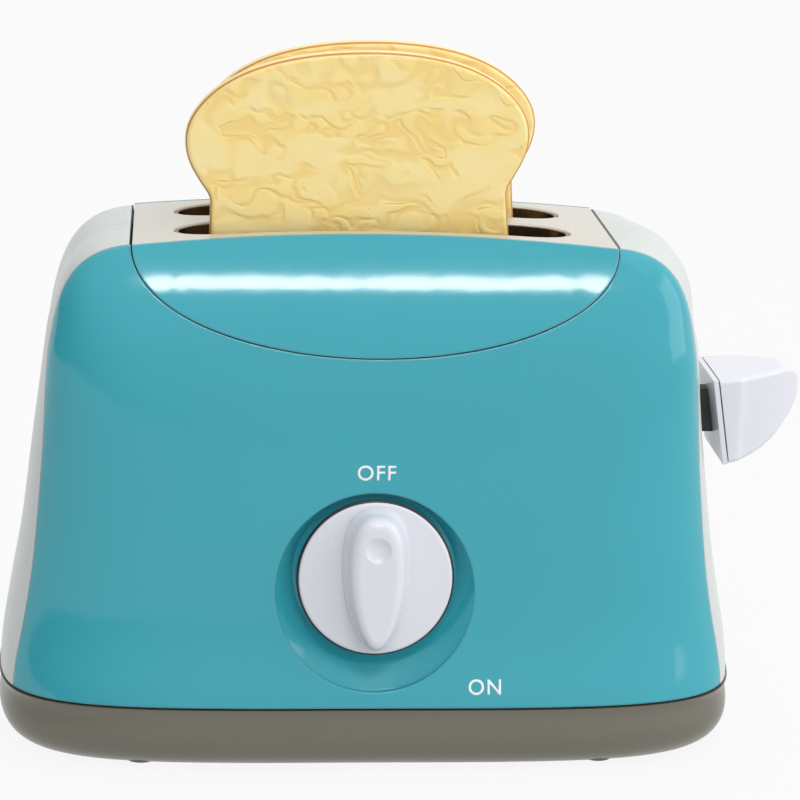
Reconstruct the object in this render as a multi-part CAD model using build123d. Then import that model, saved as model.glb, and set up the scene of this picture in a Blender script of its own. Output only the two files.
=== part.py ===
from build123d import *
import os
from functools import cache
from math import atan2, copysign, cos, degrees, pi, radians, sin, sqrt

os.makedirs("parts", exist_ok=True)

# Toy toaster.  Millimetres.  +X is the lever side, -Y the front with the knob, +Z up.
# The origin is the centre of the base tray's flat underside; the rubber feet stand out below it.

# ---------------------------------------------------------------- driving sizes: body
seam_height = 20.6            # top edge of the silver base
seam_half_width = 114.0       # body at the seam, where it is widest
seam_half_depth = 66.0
dial_height = 60.0            # knob axis on the front face
dial_half_depth = 57.4
shoulder_height = 125.0       # the side walls turn into the shoulders here
shoulder_half_width = 99.0
top_height = 155.5            # flat top of the shoulders
top_half_width = 75.0
top_half_depth = 31.5
crown_rise = 3.4              # the slot plate bulges this much over its length
wall = 2.5
seam_groove = 0.6             # shadow line between base and shells
panel_gap = 0.35              # parting lines between the coloured covers and the side shells
panel_foot_depth = 45.5       # the front panel's edge, at the seam ...
panel_head_depth = 30.0       # ... and at the top
saddle_half_width = 73.0
saddle_drop = 30.5            # depth of the crescent below the shoulders
saddle_gap = 0.9              # dark line between the slot plate and the shoulders
crescent_gap = 0.4

# ---------------------------------------------------------------- driving sizes: base
base_proud = 0.5              # the base rim stands out past the shells
base_round = 12.0             # rounding of the lower edge
base_floor = 0.0              # underside of the tray
floor_thickness = 2.6
foot_radius = 8.0
foot_recess = 1.2
foot_proud = 0.6              # the feet stand out below the tray
foot_x = 74.0
foot_y = 29.0

# ---------------------------------------------------------------- driving sizes: slots and toast
slot_half_length = 59.3
slot_half_width = 8.3
slot_end = 14.0               # length of the half-ellipse at each end
slot_y = 14.3
slot_lip = 0.7                # rounding of the slots' upper edges
slot_set_back = 0.3           # the deck under the plate is cut this much wider
plate_thickness = 2.0
plate_rim = 1.5
plate_fit = 0.08
well_wall = 1.2
well_half_length = 61.0
well_half_width = 8.5
well_bottom = 47.0
well_rim = 0.9                # the wells' rims line the slots ...
well_rim_gap = 0.3
well_rim_drop = 0.5           # ... and end this far below the plate's top
well_tab = 2.0                # the wells hang on the frame by these end tabs
well_tab_thickness = 1.5
toast_thickness = 7.0
toast_half_width = 51.9
toast_foot_half_width = 48.8
toast_height = 113.0
toast_edge = 1.6
toast_corner = 5.0
toast_waist = 6.0             # rounding of the waist under the ears
toast_rest = 97.3             # where the slices stand on the rails
front_slice_shift = -2.4      # the loose slices stand off the middle of their slots ...
front_slice_ahead = 1.4
front_slice_tilt = 2.0        # ... and a little askew
rear_slice_shift = 1.3
rear_slice_ahead = 1.8
rear_slice_tilt = 1.0

# ---------------------------------------------------------------- driving sizes: lift
lever_travel = 38.0
rod_x = 77.0
rod_radius = 2.0
rod_clearance = 0.08
rod_top = 141.0
rail_width = 4.0
rail_height = 6.0
rail_top = 97.0
carriage_half_depth = 17.0
carriage_thickness = 12.0
carriage_pad_thickness = 6.0
block_length = 20.0
block_bottom = 87.0
block_top = 105.0
spring_wire = 1.0
spring_radius = 4.4
spring_turns = 11
spring_seat = 14.0
collar_radius = 6.5
collar_length = 4.0

# ---------------------------------------------------------------- driving sizes: lever
neck_thickness = 5.6
neck_bottom = 90.5
neck_top = 104.5
lever_slot_clearance = 0.7
arm_pad_half_depth = 9.0      # the arm's pad on the carriage
arm_pad_thickness = 3.0
lever_screw_margin = 3.0
lever_screw_spread = 6.0
handle_half_depth = 16.0
handle_top = 110.4
handle_rise = 2.0             # the top climbs this much towards the nose
handle_bottom = 83.4
handle_reach = 137.6          # outermost point of the handle
handle_wall_gap = 1.0         # to the side wall when the lever is down
handle_plate = 1.6
handle_seam = 0.4
handle_edge = 1.4
handle_socket = 15.6          # the neck ends this far behind the nose

# ---------------------------------------------------------------- driving sizes: knob and dish
dial_lean = 7.0               # the front face leans back by this angle at the knob
dish_radius = 30.2
dish_drop = 4.7               # the dish rim sits lower than the knob
dish_floor_radius = 24.6
dish_depth = 5.0
dish_rim_rise = 12.0          # the rim is cut straight out to this height over the dial plane
knob_radius = 23.2
knob_under = 0.5              # gap below the knob disc
knob_thickness = 7.0
knob_undercut = 1.2           # the disc is this much smaller in radius at its foot
knob_edge = 0.8
grip_length = 42.5
grip_width = 19.0
grip_height = 10.5
grip_drop = 0.1
grip_blunt = 0.8              # below 1 the upper end is blunter than an ellipse
thumb_radius = 3.9
thumb_depth = 1.2
thumb_rise = 10.5
knob_stem_radius = 5.0
shaft_radius = 2.5
knob_turn = 135.0

# ------------------------------------------- driving sizes: timer (depths behind the front face)
timer_plate_thickness = 1.5
timer_half_width = 31.0
timer_half_height = 17.5
timer_front = 10.5            # front plate's outer face
timer_back = 27.0             # back plate's inner face
spacer_radius = 3.0
gear_module = 0.8
drive_teeth = 38
damper_teeth = 12
gear_face = 2.5
gear_depth = 14.0             # front face of the drive gear
mesh_clearance = 0.25
cam_low = 5.5                 # snail cam: smallest and largest radius
cam_high = 13.0
cam_thickness = 2.5
cam_depth = 19.5
cam_follow = 0.35             # gap between cam and latch finger
coil_inner = 3.2
coil_outer = 10.2
coil_turns = 4.5
coil_strip = 0.5
coil_width = 2.4
coil_depth = 23.6
damper_radius = 9.0
damper_depth = 18.5
damper_length = 7.0
damper_foot = 4.0             # half width of the foot that holds it to the back plate
damper_shaft_radius = 1.5
damper_pivot_radius = 1.0
damper_bore_depth = 4.3
bore_clearance = 0.06

# ---------------------------------------------------------------- driving sizes: latch and bell
latch_u = 62.0                # latch pivot, right of and below the knob axis
latch_v = -36.0
latch_arm = 5.0               # width of the arms
latch_eye = 4.5
latch_pin_radius = 1.5
latch_pin_head = 2.7
latch_pin_depth = 6.0
latch_foot_half = 5.0
latch_foot_drop = 30.0
latch_foot_thickness = 6.7
hook_length = 3.4
hook_thickness = 4.0
catch_width = 5.0
catch_thickness = 4.0
latch_overhang = 0.5          # gap over the catch when the carriage is down
bell_x = -57.0
bell_y = -36.0
bell_radius = 15.0
bell_height = 9.0
bell_wall = 1.0
bell_seat = 33.0
bell_post_radius = 3.5
striker_x = -34.0
striker_y = -22.0
striker_ball = 2.5
striker_gap = 0.6
striker_height = 36.0
striker_arm = 3.0
striker_hub_radius = 4.0
striker_arm_radius = 1.2
striker_pin_radius = 1.2
striker_pin_head = 2.6
striker_pin_depth = 12.0
striker_ball_rise = 3.0       # above the bell's rim
bell_collar = 2.0             # wall of the socket round the bell's post
bell_socket = 4.0

# ---------------------------------------------------------------- driving sizes: fasteners
screw_radius = 1.5
screw_head_radius = 2.9
screw_head_height = 1.8
boss_radius = 3.6
screw_slot = 0.7              # the cross in a screw head
screw_slot_depth = 0.7
screw_way = 0.2               # a screw's clearance hole
screw_well_radius = 4.6       # rear bosses, wide enough for the screw heads
body_screw_x = 88.0
body_screw_low = 36.0
body_screw_high = 119.0
body_screw_seat = 14.0        # its head, behind the middle plane
body_screw_length = 30.0
timer_post_inset = 5.0
bell_screw_length = 8.0
saddle_screw_length = 12.0
lever_screw_length = 8.0
ear_thickness = 3.0
base_screw_x = 70.0
base_screw_y = 54.0
base_screw_length = 24.0
base_post_wall = 1.6
flange_width = 9.0
flange_thickness = 2.5
lip_thickness = 2.0
lip_reach = 6.0               # the side shells' lip runs this far under each cover
lip_fit = 0.1
frame_height = 133.0          # underside of the plate that holds the bread wells and rods
frame_thickness = 3.0
frame_half_depth = 26.0
frame_fit = 0.2
saddle_post_x = 66.5
deck_bottom = 151.5           # underside of the saddle deck, where the wells end
clear = 0.3                   # between pieces of different moving groups

# Body sections from the seam up: height, half width, half depth, squareness of the plan corner.
body_stations = [
    (seam_height, seam_half_width, seam_half_depth, 4.6),
    (37.0, 112.4, 61.2, 4.6),
    (dial_height, 108.1, dial_half_depth, 4.7),
    (83.0, 104.9, 54.4, 4.9),
    (105.0, 101.9, 51.4, 5.6),
    (shoulder_height, shoulder_half_width, 47.2, 7.5),
    (137.0, 96.3, 43.0, 9.0),
    (145.0, 92.9, 39.0, 11.0),
    (150.0, 89.0, 36.0, 12.0),
    (153.3, 84.0, 33.9, 13.0),
    (154.8, 79.5, 32.9, 13.0),
    (top_height, top_half_width, top_half_depth, 13.0),
]
section_points = 28
form_foot = 6.0


def station(height, column):
    """A body size at any height, straight between the stations."""
    low = body_stations[0]
    for high in body_stations[1:]:
        if height <= high[0]:
            share = (height - low[0]) / (high[0] - low[0])
            return low[column] + share * (high[column] - low[column])
        low = high
    return low[column]


def side_wall(height):
    return station(height, 1)


def front_face(height):
    return station(height, 2)


def box(x0, x1, y0, y1, z0, z1):
    return Pos((x0 + x1) / 2, (y0 + y1) / 2, (z0 + z1) / 2) * Box(x1 - x0, y1 - y0, z1 - z0)


def rod(x, y, z0, z1, radius):
    """An upright round bar."""
    return Pos(x, y, (z0 + z1) / 2) * Cylinder(radius, z1 - z0)


def bar(start, end, radius):
    """A round bar between two points."""
    direction = Vector(*end) - Vector(*start)
    return extrude(Plane(origin=start, z_dir=direction) * Circle(radius), direction.length)


def plan_section(height, half_width, half_depth, power):
    """Closed horizontal outline: long gently bowed faces and rounded corners."""
    points = []
    for step in range(section_points):
        angle = 2 * pi * step / section_points
        across = cos(angle)
        along = sin(angle)
        x = half_width * abs(across) ** (2 / power) * (1 if across > 0 else -1)
        y = half_depth * abs(along) ** (2 / power) * (1 if along > 0 else -1)
        if abs(across) < 1e-9:
            x = 0
        if abs(along) < 1e-9:
            y = 0
        points.append((x, y, height))
    return Face(Wire([Spline(*points, periodic=True)]))


def body_form(inset):
    """The whole body drawn in by inset, carried straight down a little below the seam."""
    height, half_width, half_depth, power = body_stations[0]
    sections = [plan_section(height - form_foot, half_width - inset, half_depth - inset, power)]
    for height, half_width, half_depth, power in body_stations:
        rise = max(0.0, height - shoulder_height) / (top_height - shoulder_height)
        sections.append(plan_section(height - inset * rise, half_width - inset,
                                     half_depth - inset, power))
    return loft(sections)


def panel_side(offset):
    """Everything in front of the front panel's leaning parting plane, moved back by offset."""
    foot = (-(panel_foot_depth) + offset, seam_height)
    head = (-(panel_head_depth) + offset, top_height)
    slope = (head[0] - foot[0]) / (head[1] - foot[1])
    reach = 60.0
    low = (foot[0] - slope * reach, foot[1] - reach)
    high = (head[0] + slope * reach, head[1] + reach)
    outline = Polyline(low, high, (-200, high[1]), (-200, low[1]), close=True)
    half_length = 200.0
    return extrude(Plane.YZ.offset(-half_length) * make_face(outline), 2 * half_length)


def saddle_region(gap):
    """The crescent and the strip above it, straight through the body from front to back."""
    half_width = saddle_half_width + gap
    crescent = Ellipse(half_width, saddle_drop + gap)
    lower = Pos(0, top_height) * crescent
    upper = Pos(0, top_height + 20) * Rectangle(2 * half_width, 40)
    return extrude(Plane.XZ.offset(-100) * (lower + upper), 200)


def mirrored_y(shape):
    return mirror(shape, about=Plane.XZ)


dial = Plane(origin=(0, -dial_half_depth, dial_height), x_dir=(1, 0, 0),
             z_dir=(0, -cos(radians(dial_lean)), sin(radians(dial_lean))))


def dial_disc(radius, outer, inner, u=0.0, v=0.0):
    """A disc on the dial axis, between two depths behind the front face."""
    middle = -(outer + inner) / 2
    return dial * (Pos(u, v, middle) * Cylinder(radius, abs(inner - outer)))


def dial_box(u0, u1, v0, v1, outer, inner):
    middle = Pos((u0 + u1) / 2, (v0 + v1) / 2, -(outer + inner) / 2)
    return dial * (middle * Box(u1 - u0, v1 - v0, abs(inner - outer)))


def dish_form(extra, deeper=0.0):
    """The shallow dish round the knob: a rim larger and lower than the floor, straight above it."""
    rim = Pos(0, -dish_drop) * Circle(dish_radius + extra)
    floor = Plane.XY.offset(-dish_depth - deeper) * Circle(dish_floor_radius + extra)
    sloped = loft([floor.face(), rim.face()])
    straight = extrude(rim, dish_rim_rise)
    return dial * (sloped + straight)


def screw(origin, direction, length):
    """A pan-head screw: origin is the seat under the head, direction the way the shank points."""
    plane = Plane(origin=origin, z_dir=direction)
    shank = extrude(plane * Circle(screw_radius), length)
    head = extrude(plane * Circle(screw_head_radius), -screw_head_height)
    slot_length = 1.25 * screw_head_radius
    slot = plane * (Pos(0, 0, -screw_head_height) * Box(slot_length, screw_slot, 2 * screw_slot_depth))
    cross = plane * (Pos(0, 0, -screw_head_height) * Box(screw_slot, slot_length, 2 * screw_slot_depth))
    return shank + head - slot - cross


def save(name, shape):
    shape.label = name
    export_step(shape, f"parts/{name}.step")


# ---------------------------------------------------------------- shared shapes
outer_form = body_form(0.0)
inner_form = body_form(wall)
skin = outer_form - inner_form
bond_form = body_form(wall - 0.3)
lip_form = body_form(wall + lip_fit)
lip_inner_form = body_form(wall + lip_fit + lip_thickness)
shell_foot = seam_height + seam_groove
below_seam = box(-200, 200, -200, 200, -50, shell_foot)
front_half = box(-200, 200, -200, -panel_gap / 4, 0, 200)
body_screws = [(x, z) for x in (-body_screw_x, body_screw_x) for z in (body_screw_low, body_screw_high)]
base_screws_at = [(x, y) for x in (-base_screw_x, base_screw_x) for y in (-base_screw_y, base_screw_y)]
timer_post_u = timer_half_width - timer_post_inset
timer_post_v = timer_half_height - timer_post_inset
timer_posts = [(u, v) for u in (-timer_post_u, timer_post_u) for v in (-timer_post_v, timer_post_v)]
foot_places = [(x, y) for x in (-foot_x, foot_x) for y in (-foot_y, foot_y)]
side_sign = (-1, 1)
drive_radius = gear_module * drive_teeth / 2
damper_pitch = gear_module * damper_teeth / 2
damper_u = drive_radius + damper_pitch + mesh_clearance


def plan_slab(inset):
    """The body's plan at the seam, drawn in, as a tall slab."""
    face = plan_section(0.0, seam_half_width - inset, seam_half_depth - inset, body_stations[0][3])
    return extrude(face, 60.0)


def y_bar(x, z, y0, y1, radius):
    """A round bar along the depth of the toaster."""
    return bar((x, y0, z), (x, y1, z), radius)


# ---------------------------------------------------------------- body shells
def cover_skin():
    """The skin in front of the parting plane."""
    return skin & panel_side(-panel_gap / 2)


def front_panel():
    """Coloured front cover with the dish, the timer posts and the screw bosses."""
    added = [dish_form(wall, wall)]
    added += [dial_disc(boss_radius, 1.5, timer_front, u, v) for u, v in timer_posts]
    added += [y_bar(x, z, -front_face(z), -ear_thickness, boss_radius) for x, z in body_screws]
    added = [piece & outer_form for piece in added]
    tip = body_screw_seat - body_screw_length - 1.0
    cuts = [saddle_region(crescent_gap), below_seam, dish_form(0.0)]
    cuts += [dial_disc(knob_stem_radius + clear, 0, dish_depth + wall + 2)]
    cuts += [dial_disc(screw_radius, dish_depth, timer_front + 1, u, v) for u, v in timer_posts]
    cuts += [y_bar(x, z, tip, 0, screw_radius) for x, z in body_screws]
    return (cover_skin() + added) - cuts


def rear_panel():
    """Coloured rear cover with four deep screw wells."""
    added = [y_bar(x, z, -front_face(z), -ear_thickness, screw_well_radius) & outer_form
             for x, z in body_screws]
    cuts = [saddle_region(crescent_gap), below_seam]
    cuts += [y_bar(x, z, -200, 0, screw_radius + screw_way) for x, z in body_screws]
    cuts += [y_bar(x, z, -200, -body_screw_seat, screw_head_radius + screw_way) for x, z in body_screws]
    return mirrored_y((cover_skin() + added) - cuts)


@cache
def side_shell():
    """Front half of the pale side band: walls, lip under the panel, floor flange, ears, ledges."""
    panel_zone = panel_side(panel_gap / 2)
    lip_zone = front_half & (panel_side(lip_reach) - panel_side(-lip_reach))
    flange_zone = front_half & (box(-200, 200, -200, 0, shell_foot, shell_foot + flange_thickness)
                                - plan_slab(wall + flange_width))
    ears = []
    for side in side_sign:
        for z in (body_screw_low, body_screw_high):
            x0 = side * (body_screw_x - 5)
            x1 = side * (side_wall(z) + 10)
            ears.append(box(min(x0, x1), max(x0, x1), -ear_thickness, -panel_gap / 4, z - 5, z + 5))
        ledge_x = side * (body_screw_x + 1)
        ears.append(box(min(ledge_x, side * 120), max(ledge_x, side * 120),
                        -22, -6, frame_height - 4, frame_height))
    posts = [rod(side * base_screw_x, -base_screw_y, shell_foot, shell_foot + 10, boss_radius)
             for side in side_sign]
    band = (skin & front_half) - panel_zone
    lip = ((bond_form - lip_inner_form) & lip_zone)
    inside = bond_form & (flange_zone + ears)
    under_panel = panel_zone & (bond_form - lip_form)
    shell = band + ([lip - under_panel] + [inside - under_panel] + posts)
    cuts = [saddle_region(saddle_gap), below_seam, lever_slot(), dish_form(wall + clear, wall + clear)]
    cuts += [y_bar(x, z, -100, -ear_thickness, screw_well_radius + clear) for x, z in body_screws]
    cuts += [y_bar(x, z, -20, 20, screw_radius + screw_way) for x, z in body_screws]
    cuts += [rod(side * base_screw_x, -base_screw_y, 0, shell_foot + 9, screw_radius) for side in side_sign]
    return shell - cuts


def lever_slot():
    """Upright slot in the side wall for the lever's neck."""
    half_width = neck_thickness / 2 + lever_slot_clearance
    low = neck_bottom - lever_travel - lever_slot_clearance
    high = neck_top + lever_slot_clearance
    inner = side_wall(high) - 2 * wall
    outer = side_wall(low) + 2 * wall
    return box(inner, outer, -half_width, half_width, low, high)


def front_shell():
    return side_shell()


def rear_shell():
    return mirrored_y(side_shell())


# ---------------------------------------------------------------- saddle and slot plate
def saddle_side(inset):
    """Front face profile of the saddle carried on above the shoulders, as a bar along X."""
    upper = [(-depth + inset, height) for height, _, depth, _ in body_stations[4:-1]]
    slope = (upper[-1][0] - upper[-2][0]) / (upper[-1][1] - upper[-2][1])
    tip = (upper[-1][0] + slope * 8.0, upper[-1][1] + 8.0)
    front = Spline(*upper, tip)
    top = Line(tip, (0, tip[1]))
    middle = Line((0, tip[1]), (0, upper[0][1]))
    foot = Line((0, upper[0][1]), upper[0])
    half = extrude(Plane.YZ.offset(-100) * make_face([front, top, middle, foot]), 200)
    return half + mirrored_y(half)


def under_crown(drop):
    """Everything below the gently arched top, lowered by drop."""
    reach = 90.0
    radius = (saddle_half_width ** 2 + crown_rise ** 2) / (2 * crown_rise)
    centre = top_height + crown_rise - drop - radius
    edge = centre + sqrt(radius ** 2 - reach ** 2)
    arc = ThreePointArc((-reach, edge), (0, centre + radius), (reach, edge))
    sides = Polyline((reach, edge), (reach, 80), (-reach, 80), (-reach, edge))
    return extrude(Plane.XZ.offset(-100) * make_face([arc, sides]), 200)


def slot_column(y_centre, wider):
    """One bread slot carried up and down: straight in the middle, half an ellipse at each end."""
    half_width = slot_half_width + wider
    shape = Rectangle(2 * (slot_half_length - slot_end), 2 * half_width)
    for side in side_sign:
        shape = shape + Pos(side * (slot_half_length - slot_end), 0) * Ellipse(slot_end + wider, half_width)
    return Pos(0, y_centre, 0) * extrude(Plane.XY.offset(deck_bottom - 10) * shape, 40)


def slot_cut(wider):
    """Both slots, wide enough for the wells' rims."""
    wider = wider + well_rim + well_rim_gap
    return slot_column(-slot_y, wider) + slot_column(slot_y, wider)


def plate_slab(fit):
    slab = under_crown(0.0) - under_crown(plate_thickness)
    return slab & saddle_side(plate_rim - fit) & box(-saddle_half_width, saddle_half_width, -60, 60, 100, 200)


def slot_plate():
    """Silver top plate with the two bread slots."""
    plate = plate_slab(0.0) - slot_cut(0.0)
    edge_way = well_rim + well_rim_gap + 0.5
    lips = [edge for edge in plate.edges()
            if edge.center().Z > top_height - 0.5 and abs(edge.center().X) < slot_half_length + edge_way
            and abs(abs(edge.center().Y) - slot_y) < slot_half_width + edge_way]
    return fillet(lips, slot_lip)


def saddle_cover():
    """Coloured saddle: a crescent at front and back, joined under the slot plate."""
    region = saddle_region(0.0)
    solid = saddle_side(0.0) & under_crown(0.0) & region
    inner_half = saddle_half_width - wall
    hollow = saddle_side(wall) & box(-inner_half, inner_half, -100, 100, 0, deck_bottom)
    posts = [rod(side * saddle_post_x, 0, frame_height + frame_thickness, deck_bottom + 1, boss_radius)
             for side in side_sign]
    cuts = [rod(side * saddle_post_x, 0, 100, deck_bottom, screw_radius) for side in side_sign]
    return ((solid - hollow) + posts) - ([plate_slab(plate_fit), slot_cut(slot_set_back)] + cuts)


# ---------------------------------------------------------------- base
def base_form(inset, floor):
    """Shallow tray with a rounded lower edge."""
    sections = []
    half_width = seam_half_width + base_proud - inset
    half_depth = seam_half_depth + base_proud - inset
    power = body_stations[0][3]
    round_top = base_floor + base_round
    radius = base_round - inset * 0.5
    steps = 6
    for step in range(steps + 1):
        angle = radians(90 * step / steps)
        height = round_top - (round_top - floor) * cos(angle)
        pull = radius * (1 - sin(angle))
        sections.append(plan_section(height, half_width - pull, half_depth - pull, power))
    sections.append(plan_section(seam_height + (1.0 if inset > 0 else 0.0), half_width, half_depth, power))
    return loft(sections)


def base_tray():
    """Silver base with the posts for the rods, latch, bell, feet and screws."""
    floor_top = base_floor + floor_thickness
    ledge_inset = wall + base_proud - 0.5
    ledge = plan_slab(ledge_inset) - plan_slab(ledge_inset + 4.5)
    ledge = ledge & box(-200, 200, -200, 200, seam_height - 4, shell_foot)
    latch_seat = cam_depth + cam_thickness + clear
    latch_foot = dial_box(latch_u - latch_foot_half, latch_u + latch_foot_half,
                          latch_v - latch_foot_drop, latch_v + latch_foot_half,
                          latch_seat, latch_seat + latch_foot_thickness)
    added = [ledge, latch_foot - box(-200, 200, -200, 200, -100, base_floor + 1)]
    added += [rod(x, y, base_floor + 1, shell_foot, screw_head_radius + screw_way + base_post_wall)
              for x, y in base_screws_at]
    added += [rod(side * rod_x, 0, base_floor + 1, spring_seat, collar_radius) for side in side_sign]
    added += [rod(bell_x, bell_y, base_floor + 1, floor_top + bell_socket, bell_post_radius + bell_collar)]
    added += [rod(striker_x, striker_y, base_floor + 1, striker_height - striker_arm, striker_hub_radius)]
    cuts = [rod(x, y, base_floor - 5, base_floor + foot_recess, foot_radius) for x, y in foot_places]
    cuts += [rod(x, y, -5, shell_foot + 1, screw_radius + screw_way) for x, y in base_screws_at]
    cuts += [rod(x, y, -5, base_screw_seat(), screw_head_radius + screw_way) for x, y in base_screws_at]
    cuts += [rod(side * rod_x, 0, floor_top, spring_seat + 1, rod_radius) for side in side_sign]
    cuts += [rod(bell_x, bell_y, floor_top, floor_top + bell_socket + 1, bell_post_radius)]
    cuts += [rod(striker_x, striker_y, striker_height - striker_pin_depth, striker_height, striker_pin_radius)]
    latch_pin_end = cam_depth + cam_thickness + latch_pin_depth
    cuts += [dial_disc(latch_pin_radius, cam_depth, latch_pin_end, latch_u, latch_v)]
    tray = base_form(0.0, base_floor) - base_form(wall + base_proud, base_floor + floor_thickness)
    return (tray + added) - cuts


def base_screw_seat():
    return shell_foot + 8.0 - base_screw_length + 1.0


def rubber_feet():
    pads = [rod(x, y, base_floor - foot_proud, base_floor + foot_recess, foot_radius - 0.1)
            for x, y in foot_places]
    return Compound(children=[fillet(pad.edges().sort_by(Axis.Z)[0], foot_proud * 0.8) for pad in pads])


# ---------------------------------------------------------------- bread wells and lift
def bread_well(y_centre):
    """Open sheet box under one slot, slit for the carriage rail; its rim stands up into the slot."""
    half_width = well_half_width + well_wall
    half_length = well_half_length
    outer = box(-half_length, half_length, y_centre - half_width, y_centre + half_width,
                well_bottom, deck_bottom)
    inner = box(-half_length + well_wall, half_length - well_wall,
                y_centre - well_half_width, y_centre + well_half_width, 0, 200)
    slit_half = rail_width / 2 + 2 * clear
    slit = box(-100, 100, y_centre - slit_half, y_centre + slit_half, 0, rail_top + 2.5)
    tabs = box(-half_length - well_tab, half_length + well_tab, y_centre - half_width, y_centre + half_width,
               frame_height + frame_thickness, frame_height + frame_thickness + well_tab_thickness)
    flange = box(-half_length, half_length, y_centre - half_width, y_centre + half_width,
                 deck_bottom - well_wall, deck_bottom)
    above = box(-200, 200, -200, 200, deck_bottom - well_wall, 200)
    rim = slot_column(y_centre, well_rim) & under_crown(well_rim_drop) & above
    return ((outer + tabs) - inner - slit) + ((flange + rim) - slot_column(y_centre, 0.0))


def well_frame():
    """Plate that hangs between the side shells and carries the wells and the rods."""
    half_length = side_wall(frame_height + frame_thickness) - wall - lip_fit - lip_thickness - 2 * clear
    plate = box(-half_length, half_length, -frame_half_depth, frame_half_depth,
                frame_height, frame_height + frame_thickness)
    well_x = well_half_length + frame_fit
    well_y = well_half_width + well_wall + frame_fit
    for y_centre in (-slot_y, slot_y):
        plate = plate - box(-well_x, well_x, y_centre - well_y, y_centre + well_y, 0, 200)
    for side in side_sign:
        plate = plate + rod(side * rod_x, 0, frame_height - 3, rod_top - 1, collar_radius - 1)
        plate = plate - rod(side * rod_x, 0, 0, rod_top - 2, rod_radius)
        plate = plate - rod(side * saddle_post_x, 0, 0, 200, screw_radius + screw_way)
    return plate


def guide_rod(side):
    return rod(side * rod_x, 0, base_floor + floor_thickness, rod_top - 2, rod_radius)


def lift_spring(side):
    """Compression coil between the base post and the carriage."""
    low = spring_seat
    high = block_bottom - collar_length - clear
    pitch = (high - low - spring_wire) / spring_turns
    path = Pos(side * rod_x, 0, low + spring_wire / 2) * Helix(pitch, pitch * spring_turns, spring_radius)
    start = path @ 0
    profile = Plane(origin=start, z_dir=path % 0) * Circle(spring_wire / 2)
    return sweep(profile, path=path, is_frenet=True)


def toast_carriage():
    """Two rails under the slices, joined by a block on each guide rod."""
    carriage = None
    for y_centre in (-slot_y, slot_y):
        rail = box(-rod_x, rod_x, y_centre - rail_width / 2, y_centre + rail_width / 2,
                   rail_top - rail_height, rail_top)
        carriage = rail if carriage is None else carriage + rail
    for side in side_sign:
        middle = side * rod_x
        carriage = carriage + box(middle - block_length / 2, middle + block_length / 2,
                                  -carriage_half_depth, carriage_half_depth, block_bottom,
                                  block_bottom + carriage_thickness)
        carriage = carriage + rod(middle, 0, block_bottom - collar_length, block_top, collar_radius)
    outer = rod_x + block_length / 2
    inner = outer - carriage_pad_thickness
    carriage = carriage + box(inner, outer, -arm_pad_half_depth, arm_pad_half_depth, block_bottom, block_top)
    carriage = carriage + catch_bar()
    for side in side_sign:
        carriage = carriage - rod(side * rod_x, 0, 0, 200, rod_radius + rod_clearance)
    for z in lever_screw_heights():
        carriage = carriage - bar((inner, lever_screw_y(z), z), (outer + 1, lever_screw_y(z), z), screw_radius)
    return carriage


def catch_bar():
    """Arm that reaches forward to the latch."""
    x0 = latch_u + hook_room()
    return box(x0, x0 + catch_width, catch_front(), 0, block_bottom, block_bottom + catch_thickness)


def hook_room():
    """From the latch pivot to the near side of the catch."""
    return latch_arm / 2 + 0.6


def catch_front():
    return -dial_half_depth + cam_depth - 2.0


def lever_screw_heights():
    return (block_bottom + lever_screw_margin, block_top - lever_screw_margin)


def lever_screw_y(height):
    return lever_screw_spread if height < (block_bottom + block_top) / 2 else -lever_screw_spread


# ---------------------------------------------------------------- lever
def handle_line(height):
    """Inner face of the handle: clear of the side wall when the lever is down."""
    low = side_wall(handle_bottom - lever_travel) + handle_wall_gap
    high = side_wall(handle_top - lever_travel) + handle_wall_gap
    share = (height - handle_bottom) / (handle_top - handle_bottom)
    return low + (high - low) * share


def handle_zone(offset_in, offset_out):
    """Slanted slab parallel to the handle's inner face."""
    low = handle_bottom - 20
    high = handle_top + 20
    corners = [(handle_line(low) + offset_in, low), (handle_line(low) + offset_out, low),
               (handle_line(high) + offset_out, high), (handle_line(high) + offset_in, high)]
    return extrude(Plane.XZ.offset(-60) * make_face(Polyline(*corners, close=True)), 120)


def handle_form():
    """Paddle with a flat top, a bullet nose in plan and a scooped underside."""
    inner_top = (handle_line(handle_top), handle_top)
    inner_bottom = (handle_line(handle_bottom), handle_bottom)
    height = handle_top - handle_bottom
    rise = (handle_reach - 7.6, handle_top + handle_rise)
    top = Line(inner_top, rise)
    # behind the nose and below the top, in shares of the height
    scoop = [(0.04, 0.04), (0.0, 0.21), (0.135, 0.51), (0.405, 0.79), (0.76, 0.967)]
    nose = Spline(rise, *[(handle_reach - back * height, handle_top - down * height) for back, down in scoop],
                  inner_bottom)
    inner = Line(inner_bottom, inner_top)
    side_view = extrude(Plane.XZ.offset(-60) * make_face([top, nose, inner]), 120)
    # behind the nose in shares of the height, half width in shares of the half depth
    bullet = [(0.95, 1.0), (0.75, 0.94), (0.46, 0.72), (0.13, 0.32)]
    upper = [(handle_reach - back * height, handle_half_depth * share) for back, share in bullet]
    lower = [(x, -y) for x, y in reversed(upper)]
    outline = Spline(*upper, (handle_reach, 0), *lower, tangents=[(1, 0), (-1, 0)])
    back_edge = Polyline(lower[-1], (handle_reach - 60, -handle_half_depth),
                         (handle_reach - 60, handle_half_depth), upper[0])
    top_view = extrude(Plane.XY.offset(40) * make_face([outline, back_edge]), 120)
    return side_view & top_view


def lever_cap():
    cap = handle_form() & handle_zone(handle_plate + handle_seam, 60)
    inner_faces = handle_line((handle_bottom + handle_top) / 2) + handle_plate + handle_seam
    soft = [edge for edge in cap.edges() if edge.center().X > inner_faces + 3]
    cap = fillet(soft, handle_edge)
    return cap - neck_bar(handle_reach - handle_socket)


def lever_back_plate():
    plate = handle_form() & handle_zone(0, handle_plate)
    return plate - neck_bar(handle_reach)


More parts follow.
